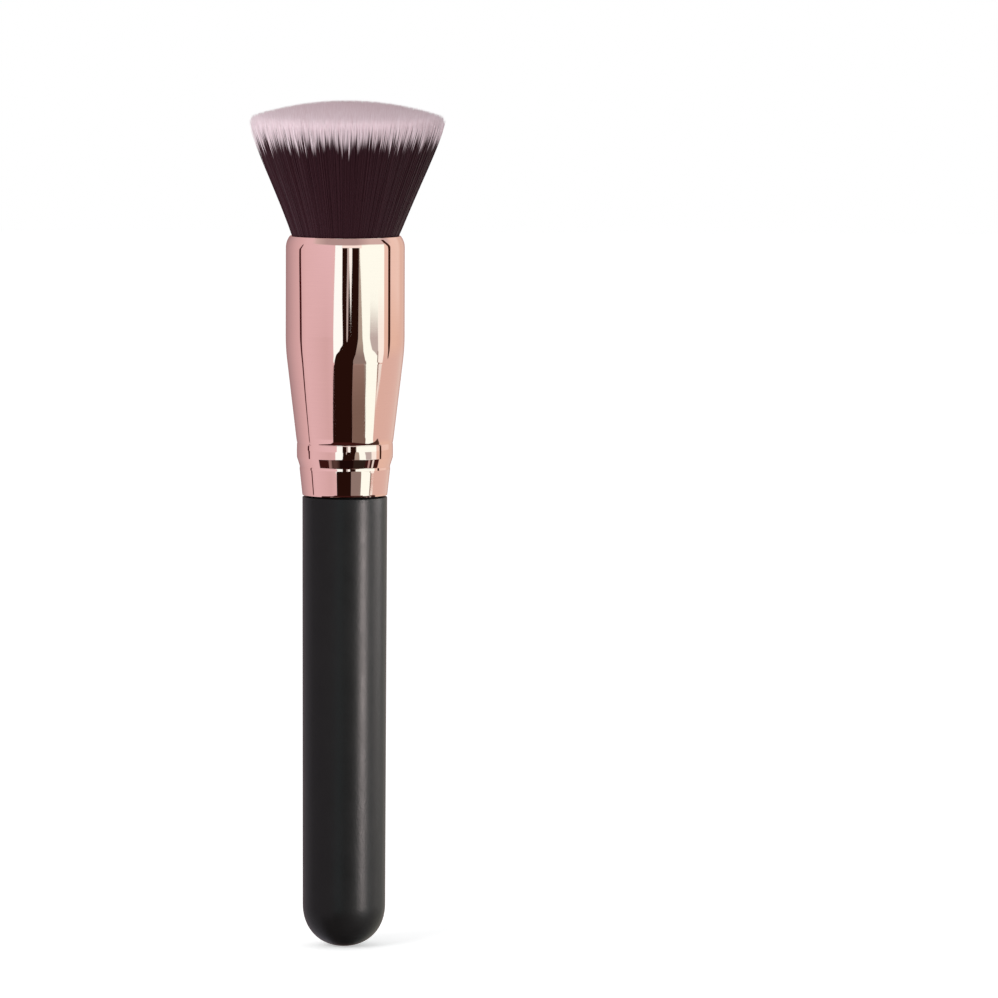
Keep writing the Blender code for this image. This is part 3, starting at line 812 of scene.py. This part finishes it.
def ferrule_outline():
    lip = arc((lip_centre_radius, lip_base), LIP_BEND, LIP_TURN, 0, LIP_SEGMENTS)
    below_lip = [
        (FERRULE_RADIUS, lip_base, 0),
        (FERRULE_RADIUS, body_base, SHOULDER_ROUND),
        (taper_radius, taper_base, 0),
        *roll_corners(),
        (band_radius, crimp_base, CRIMP_EDGE_ROUND),
        (band_radius + BAND_BARREL, band_base + BAND_HEIGHT / 2, BAND_BARREL_ROUND),
        (band_radius, band_base, BAND_EDGE_ROUND),
        (skirt_top_radius - GROOVE_DEPTH, SKIRT_HEIGHT + GROOVE_HEIGHT * GROOVE_LOW_SHARE, GROOVE_ROUND),
        (skirt_top_radius, SKIRT_HEIGHT, BAND_EDGE_ROUND),
        (GRIP_TOP_RADIUS, 0, 0),
    ]
    return filled(lip + rounded(below_lip, CORNER_SEGMENTS)[1:], STEP_ALONG)


print(f"ferrule: body {BODY_LENGTH * 1000:.1f} mm, taper {TAPER_LENGTH * 1000:.1f} mm")

# %% [markdown]
# ## Ferrule
#
# The outline is turned and then given the sheet's thickness with Solidify, so that inside and outside match
# as they do in sheet metal. A small bevel takes the sharpness off the two cut edges, as tumbling does.

# %% Ferrule
CUT_EDGE_ANGLE = math.radians(70)


def make_ferrule():
    outline = ferrule_outline()
    piece = turned("drawn_ferrule", outline, ferrule_foot, rose_gold())
    shell = piece.modifiers.new("Wall", "SOLIDIFY")
    shell.thickness = WALL
    shell.offset = -1
    shell.use_even_offset = True
    edge = piece.modifiers.new("Sheet edge", "BEVEL")
    edge.width = SHEET_EDGE_ROUND
    edge.segments = 2
    edge.use_clamp_overlap = False
    edge.limit_method = "ANGLE"
    edge.angle_limit = CUT_EDGE_ANGLE
    dress(piece, "ferrule_metal", "ferrule")
    print(f"ferrule: {len(outline)} points in its outline, top at {ferrule_top * 1000:.1f} mm")


make_ferrule()

# %% [markdown]
# ## Where the bristles run
#
# Each bristle starts in the ferrule's mouth and bends outward to its place in the trimmed top, which is a
# low dome with a rounded rim. A particle system could scatter them, but could not keep them all inside the
# true shape. So the paths come in rings from the rim inwards, with a little chance in every step, and
# neighbours lean together in small tufts, as real fibres do.

# %% Bristle paths
TUFT_HEIGHT = 0.02635
TUFT_RADIUS = 0.0190
MOUTH_RADIUS = 0.01015
DOME_RISE = 0.0031
RIM_ROUND = 0.0008
BELLY_SHARE = 0.36
HEAD_LEAN = 0.00033
ROOT_DROP = 0.0005
RING_SPACING = 0.00027
CROWN_SPACING = 0.000275
FLANK_DEPTH = 0.0021
TUFT_SIZE = 0.0008
TUFT_PULL = 0.12
TRIM_SPREAD = 0.0005
SWAY = 0.00012
TURN_JITTER = 0.4
OUTWARD_JITTER, INWARD_JITTER = 0.25, 0.45
SEED = 11

mouth_height = ferrule_foot + lip_base + LIP_BEND * math.sin(LIP_TURN)
root_height = mouth_height - ROOT_DROP
chance = np.random.default_rng(SEED)


def flare(share):
    """How far a bristle has opened at a share of its height."""
    return share + BELLY_SHARE * share**3 * (1 - share)


def tip_height(radius):
    """Height of the trimmed top at a distance from the axis."""
    drop = DOME_RISE * (radius / TUFT_RADIUS) ** 2
    into_rim = np.clip(radius - (TUFT_RADIUS - RIM_ROUND), 0, RIM_ROUND)
    return mouth_height + TUFT_HEIGHT - drop - (RIM_ROUND - np.sqrt(RIM_ROUND**2 - into_rim**2))


def rings(outer, inner, spacing):
    """Tip places (radius, angle) in rings from the outside in."""
    radii, angles = [], []
    for radius in np.arange(outer, inner, -spacing):
        count = max(1, round(2 * math.pi * radius / spacing))
        turn = chance.random()
        jitter = chance.uniform(-TURN_JITTER, TURN_JITTER, count)
        angles.append((np.arange(count) + turn + jitter) * 2 * math.pi / count)
        jitter = chance.uniform(-INWARD_JITTER, OUTWARD_JITTER, count)
        radii.append(np.full(count, radius) + jitter * spacing)
    return np.clip(np.concatenate(radii), 0, outer), np.concatenate(angles)


def lean_together(places):
    """Moves tips a share of the way to the middle of their small tuft."""
    count = int(math.pi * TUFT_RADIUS**2 / TUFT_SIZE**2)
    radius = TUFT_RADIUS * np.sqrt(chance.random(count))
    angle = chance.uniform(0, 2 * math.pi, count)
    middles = np.stack([radius * np.cos(angle), radius * np.sin(angle)], 1)
    nearest = np.array([np.argmin(((middles - place) ** 2).sum(1)) for place in places])
    return places + (middles[nearest] - places) * TUFT_PULL, nearest


def bristle_paths(radii, angles, start, points):
    """Points along each bristle, from a share of its height up to its tip, and its small tuft's number."""
    tips = np.stack([radii * np.cos(angles), radii * np.sin(angles)], 1)
    leaning, tuft = lean_together(tips)
    roots = tips * (MOUTH_RADIUS / TUFT_RADIUS)
    tops = tip_height(radii) - TRIM_SPREAD * chance.random(len(radii)) ** 2
    sway = chance.normal(0, SWAY, (len(radii), 2))
    share = start + (1 - start) * np.linspace(0, 1, points)
    opened = flare(share)
    across = roots[:, None] + (tips - roots)[:, None] * opened[None, :, None]
    across += ((leaning - tips) + sway)[:, None] * (share**2)[None, :, None]
    across[:, :, 0] += HEAD_LEAN * np.sqrt(share)
    rise = root_height + (tops - root_height)[:, None] * share[None]
    return np.concatenate([across, rise[:, :, None]], 2), tuft


print(f"head: rim {tip_height(TUFT_RADIUS) * 1000:.1f} mm up, middle {tip_height(0.0) * 1000:.1f} mm")

# %% [markdown]
# ## Bristle colours
#
# The fibres are dyed almost black and their ends are left dusty pink. Where the dye stops differs from
# fibre to fibre, which gives the ragged border. A painted picture would do for one side only. Here three
# numbers on each fibre go into one small material: its depth below the tip, the place of its border and its
# shade, which in the middle of the crown holds painted shade. Sixty-four kinds of fibre are enough to look
# random.

# %% Bristle material
DYES = SHADES = 8
KINDS = DYES * SHADES
PINK_LENGTH = 0.0041
PINK_SPREAD = 0.0011
BLEND_LENGTH = 0.0014
DYE_REACH = 1.6
PALE_TONES = ((230, 203, 210), (250, 231, 238))
DARK_TONES = ((50, 21, 30), (58, 27, 35))
PALE_ROUGHNESS, DARK_ROUGHNESS = 0.62, 0.5
FIBRE_MIRRORING = 0.2

kind_shift = np.tile(np.linspace(-DYE_REACH, DYE_REACH, DYES), SHADES) * PINK_SPREAD
# Each kind's tone: lighter or darker at random, and darker in the crown's middle as painted shade
kind_tone_and_painted_shade = np.repeat(np.linspace(-1, 1, SHADES), DYES)


def bristle_material():
    material, tree, shader = new_material("dyed_bristles")
    from_tip, shift, tone = (
        add(tree, "ShaderNodeAttribute", attribute_name=name).outputs["Fac"]
        for name in ("from_tip", "dye_shift", "tone")
    )
    below_border = calc(tree, "SUBTRACT", from_tip, calc(tree, "ADD", shift, PINK_LENGTH))
    inputs = {0: below_border, 1: -BLEND_LENGTH, 2: BLEND_LENGTH}
    dark = add(tree, "ShaderNodeMapRange", inputs, interpolation_type="SMOOTHSTEP").outputs[0]
    # The tone attribute holds random tone and, in the middle of the crown, painted shade
    lightness = calc(tree, "MULTIPLY_ADD", tone, 0.5, 0.5, clamp=True)
    pale = blend_colours(tree, lightness, *(colour(*tone) for tone in PALE_TONES))
    deep = blend_colours(tree, lightness, *(colour(*tone) for tone in DARK_TONES))
    roughness = blend_values(tree, dark, PALE_ROUGHNESS, DARK_ROUGHNESS)
    set_finish(tree, shader, blend_colours(tree, dark, pale, deep), roughness)
    shader.inputs["Specular IOR Level"].default_value = FIBRE_MIRRORING
    print(f"dyed bristles: {KINDS} kinds, pink for {PINK_LENGTH * 1000:.1f} mm")
    return material


bristle_finish = bristle_material()

# %% [markdown]
# ## The shape and shading of a bristle
#
# A bristle is a thin three-sided rod that tapers to a point over its last few millimetres. Hair curves
# would render as well, but wouldn't export, so each is a mesh. Light goes between soft fibres and shades
# the head as one body, so the normals mostly follow the head's own surface, with a little of each rod's
# roundness. At the rim they turn up to the domed top.

# %% Bristle helpers
SIDES = 3
TAPER_RUN = 0.0034
TAPER_POWER = 0.6
FLANK_SLOPE = 0.4
OWN_SHADING = 0.25
TIP_FACE = 0.0012
TIP_FACE_INWARD = 1.5
SMALLEST_RADIUS = 1e-6


def unit(vectors):
    return vectors / np.linalg.norm(vectors, axis=-1, keepdims=True)


def at_points(levels):
    """A value at each level of a rod, given to all of the rod's points, with 0 for its tip."""
    return np.concatenate([np.repeat(levels[:, :-1], SIDES, 1), np.zeros((len(levels), 1))], 1)


def head_normals(verts, along, crown):
    """The way the head's surface faces at each point: out and a little down, or up on its domed top."""
    around = verts[..., :2] - np.array([HEAD_LEAN, 0])
    radius = np.maximum(np.linalg.norm(around, axis=-1, keepdims=True), SMALLEST_RADIUS)
    slope = 2 * DOME_RISE / TUFT_RADIUS**2
    on_top = np.concatenate([around * slope, np.ones_like(radius)], -1)
    if crown:
        return unit(on_top)
    on_flank = np.concatenate([around / radius, np.full_like(radius, -FLANK_SLOPE)], -1)
    inward = np.maximum(TUFT_RADIUS - radius[:, -1:, 0], 0)
    turned_up = np.clip(1 - along / (TIP_FACE + TIP_FACE_INWARD * inward), 0, 1)[..., None]
    return unit(on_flank + (on_top - on_flank) * turned_up)


def rod_faces(points):
    """The faces of one rod by its own points: its foot, the sides level by level and the pointed end."""
    last = (points - 2) * SIDES
    faces = [tuple(range(SIDES))[::-1]]
    for low in range(0, last, SIDES):
        for side in range(SIDES):
            after = (side + 1) % SIDES
            faces.append((low + side, low + after, low + SIDES + after, low + SIDES + side))
    return faces + [(last + side, last + (side + 1) % SIDES, last + SIDES) for side in range(SIDES)]


print(f"a rod of 4 levels has {len(rod_faces(4))} faces")

# %% [markdown]
# ## The kinds of fibre and their map
#
# Dye creeps up a bundle unevenly, so fibres of one small tuft tend to change colour at one height, and the
# border lies a little lower on one side of the head. The shade varies at random too, and the middle of the
# crown is painted darker, as painted shade for the little light that gets in between the ends. Each rod
# draws its kind by chance. In the map each kind has a column, and a rod lies in it with its length up the
# column, so a baked picture keeps every fibre sharp.

# %% Kinds and map
TUFT_DYE_SPREAD = 0.2
DYES_PER_SPREAD = 2.2
MIDDLE_DYE = 3.5
BORDER_LEAN = 0.6
FLANK_SHADE = 4.8
# The crown's mean shade, dark in its middle and paler to its rim: painted shade
CROWN_MIDDLE_PAINTED_SHADE, CROWN_PAINTED_SHADE_GAIN = 0.3, 4.7
SHADE_SPREAD = 1.4
MAP_LENGTH = 0.030
MAP_MARGIN = 0.01
COLUMN_FILL = 0.7

# Where a face's corners lie across the column, for a face with four corners and for one with three
FACE_SIDES = {4: (0.1, 0.9, 0.9, 0.1), 3: (0.1, 0.9, 0.5)}


def rod_kinds(paths, tuft, dye_spread, crown):
    """The number of each rod's kind of fibre."""
    count = len(paths)
    shift = chance.normal(0, TUFT_DYE_SPREAD, tuft.max() + 1)[tuft] + chance.normal(0, dye_spread, count)
    outward = paths[:, -1, :2] / TUFT_RADIUS
    border = MIDDLE_DYE - BORDER_LEAN * outward[:, 0]
    dye = np.clip(np.round(shift * DYES_PER_SPREAD + border), 0, DYES - 1)
    # In the crown the mean shade falls towards the middle: painted shade for the little light between the
    # ends
    mean_tone_and_painted_shade = CROWN_MIDDLE_PAINTED_SHADE + CROWN_PAINTED_SHADE_GAIN * (outward**2).sum(1) if crown else FLANK_SHADE
    shade = np.clip(np.round(chance.normal(mean_tone_and_painted_shade, SHADE_SPREAD, count)), 0, SHADES - 1)
    return (shade * DYES + dye).astype(int)


def lay_map(mesh, faces, kind, along):
    """Gives each rod its kind's column of the map, with its length up the column."""
    corners, sides = [], []
    for face in faces:
        for place, corner in enumerate(face):
            corners.append(corner)
            sides.append(FACE_SIDES[len(face)][place])
    u = (kind[:, None] + 0.5 + (np.array(sides)[None] - 0.5) * COLUMN_FILL) / KINDS
    v = 1 - np.clip(along[:, corners] / MAP_LENGTH, 0, 1) * (1 - 2 * MAP_MARGIN) - MAP_MARGIN
    layer = mesh.uv_layers.new(name="OFBake")
    layer.uv.foreach_set("vector", np.stack([u, v], 2).ravel().astype(np.float32))


print(f"kinds: {DYES} heights of the dye times {SHADES} shades")

# %% [markdown]
# ## Flank and crown
#
# One mesh holds thousands of bristles. The flank, whose bristles show their whole length, has rods with
# many levels. The crown shows only its ends, so its rods are short and stand in the dark core. Neither
# throws a shadow, because light filters through soft fibres, and the shadows of rods would look like wire.

# %% Flank and crown
FLANK_WIDTH, CROWN_WIDTH = 0.00018, 0.00029
FLANK_LEVELS, CROWN_LEVELS = 11, 4
FLANK_DYE_SPREAD, CROWN_DYE_SPREAD = 0.85, 0.55
CROWN_START = 0.72


def rods(name, paths, tuft, width, dye_spread, crown=False):
    """One mesh of pointed rods along paths, with each rod's kind of fibre in its attributes and map."""
    count, points = paths.shape[:2]
    from_tip = paths[:, -1:, 2] - paths[:, :, 2]
    half = np.clip(from_tip / TAPER_RUN, 0, 1) ** TAPER_POWER * width / 2
    turn = chance.uniform(0, 2 * math.pi, count)[:, None] + np.arange(SIDES) * 2 * math.pi / SIDES
    ring = np.stack([np.cos(turn), np.sin(turn), np.zeros_like(turn)], 2)
    body = paths[:, :-1, None] + ring[:, None] * half[:, :-1, None, None]
    verts = np.concatenate([body.reshape(count, -1, 3), paths[:, -1:]], 1)
    per_rod = verts.shape[1]
    faces = rod_faces(points)
    starts = range(0, count * per_rod, per_rod)
    all_faces = [tuple(start + corner for corner in face) for start in starts for face in faces]
    mesh = bpy.data.meshes.new(name)
    mesh.from_pydata(verts.reshape(-1, 3), [], all_faces)
    mesh.shade_smooth()
    own = np.repeat(ring[:, None], points - 1, 1).reshape(count, -1, 3)
    own = np.concatenate([own, np.zeros((count, 1, 3))], 1)
    along = at_points(from_tip)
    normals = unit(head_normals(verts, along, crown) + own * OWN_SHADING)
    mesh.normals_split_custom_set_from_vertices(normals.reshape(-1, 3))

    kind = rod_kinds(paths, tuft, dye_spread, crown)
    for label, values in (
        ("from_tip", along),
        ("dye_shift", np.repeat(kind_shift[kind][:, None], per_rod, 1)),
        ("tone", np.repeat(kind_tone_and_painted_shade[kind][:, None], per_rod, 1)),
    ):
        attribute = mesh.attributes.new(label, "FLOAT", "POINT")
        attribute.data.foreach_set("value", values.ravel().astype(np.float32))
    lay_map(mesh, faces, kind, along)
    mesh.materials.append(bristle_finish)
    obj = bpy.data.objects.new(name, mesh)
    bpy.context.scene.collection.objects.link(obj)
    obj.visible_shadow = False
    print(f"{name}: {count} bristles, {count * (sum(len(face) - 2 for face in faces))} triangles")
    return obj


places = rings(TUFT_RADIUS, TUFT_RADIUS - FLANK_DEPTH, RING_SPACING)
paths, tuft = bristle_paths(*places, 0.0, FLANK_LEVELS)
flank = rods("bristle_flank", paths, tuft, FLANK_WIDTH, FLANK_DYE_SPREAD)
dress(flank, "bristle_fibre", "bristle_tuft")

places = rings(TUFT_RADIUS - FLANK_DEPTH, 0, CROWN_SPACING)
paths, tuft = bristle_paths(*places, CROWN_START, CROWN_LEVELS)
crown = rods("bristle_crown", paths, tuft, CROWN_WIDTH, CROWN_DYE_SPREAD, crown=True)
dress(crown, "bristle_fibre", "bristle_tuft")
keep_light_on([flank, crown], "fill_lamp", "edge_lamp")

# %% [markdown]
# ## The core of the head
#
# Between the fibres one sees more fibres, all dark with dye. More bristles there would never be seen, so a
# turned core that follows the flank from inside stands for them and lets no light through. Its streaks run
# with the fibres. Its neck goes down into the ferrule's mouth and fills it.

# %% Core
CORE_RIM_INSET = 0.0016
CORE_TOP_SHARE = 0.93
CORE_TOP_DEPTH = 0.0062
CORE_LOW_INSET = 0.0005
CORE_TOP_INSET = 0.0008
CORE_NECK_TOP = 0.0002
CORE_NECK_LENGTH = 0.002
CORE_SHOULDER_SHARE = 0.05
CORE_TOP_POINTS, CORE_SIDE_POINTS = 9, 12
CORE_TURN_STEPS = 96
CORE_TONE = (48, 22, 30)
CORE_ROUGHNESS = (0.55, 0.75)
STREAK_GRAIN = 0.0004
STREAK_SQUEEZE = 0.06
STREAK_SPREAD = 0.3


def dark_core_material():
    material, tree, shader = new_material("dark_core")
    streaks = uneven(tree, colour(*CORE_TONE), STREAK_GRAIN, STREAK_SQUEEZE, STREAK_SPREAD)
    set_finish(tree, shader, streaks["Color"], vary(tree, streaks["Mask"], *CORE_ROUGHNESS))
    shader.inputs["Specular IOR Level"].default_value = FIBRE_MIRRORING
    return material


def core_outline():
    """The core from the middle of its domed top, down inside the flank and into the ferrule's mouth."""
    rim = (TUFT_RADIUS - CORE_RIM_INSET) * CORE_TOP_SHARE
    radii = (0.0, *rim * np.linspace(0.2, 1, CORE_TOP_POINTS))
    rows = [(radius, float(tip_height(radius)) - CORE_TOP_DEPTH) for radius in radii]
    tall = float(tip_height(TUFT_RADIUS)) - root_height
    highest = (rows[-1][1] - root_height) / tall - CORE_SHOULDER_SHARE
    for share in np.linspace(highest, 0, CORE_SIDE_POINTS):
        outer = MOUTH_RADIUS + (TUFT_RADIUS - MOUTH_RADIUS) * flare(share)
        rows.append((outer - CORE_LOW_INSET - CORE_TOP_INSET * share, root_height + tall * share))
    neck = lip_centre_radius + LIP_BEND - WALL - FIT_GAP
    neck_foot = ferrule_foot + lip_base - CORE_NECK_LENGTH
    return rows + [(neck, ferrule_foot + lip_base - CORE_NECK_TOP), (neck, neck_foot), (0, neck_foot)]


core_rows = core_outline()
core = turned("bristle_core", core_rows, 0, dark_core_material(), steps=CORE_TURN_STEPS)
dress(core, "bristle_fibre", "bristle_tuft")
print(f"core: {len(core_rows)} points, top at {core_rows[0][1] * 1000:.1f} mm")

# %% [markdown]
# ## Pieces hidden in the ferrule
#
# Four pieces of the CAD model are sealed inside the ferrule: the glued root of the bristles, the thread
# wound round it, the resin behind it and the glue round the spigot. Their shapes are right as they are, so
# they only get finishes: glued fibres streaked along the axis, waxed thread, clear resin and hard glue.

# %% Hidden pieces
# By node: the finish, its tone, the grain, its rings and spread of tone, the roughness and the relief
hidden = {
    "bristle_root": ("glued_fibres", (44, 30, 30), 0.0003, 0.05, 0.4, (0.3, 0.5), 0.00005),
    "knot_thread": ("waxed_thread", (226, 219, 203), 0.0002, 3.0, 0.2, (0.6, 0.8), 0.00004),
    "resin_plug": ("clear_resin", (205, 176, 112), 0.003, 1.0, 0.15, (0.08, 0.2), 0.00003),
    "spigot_glue": ("hard_glue", (232, 226, 204), 0.0015, 1.0, 0.1, (0.25, 0.4), 0.00005),
}


def hidden_finish(name, levels, grain_size, rings, tone_spread, rough, relief):
    material, tree, shader = new_material(name)
    grain = uneven(tree, colour(*levels), grain_size, rings, tone_spread)
    roughness = vary(tree, grain["Mask"], *rough)
    set_finish(tree, shader, grain["Color"], roughness, grain["Height"], relief)
    return material


for node, finish in hidden.items():
    material = hidden_finish(*finish)
    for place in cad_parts[node].material_slots:
        place.material = material
print("hidden pieces:", ", ".join(hidden))
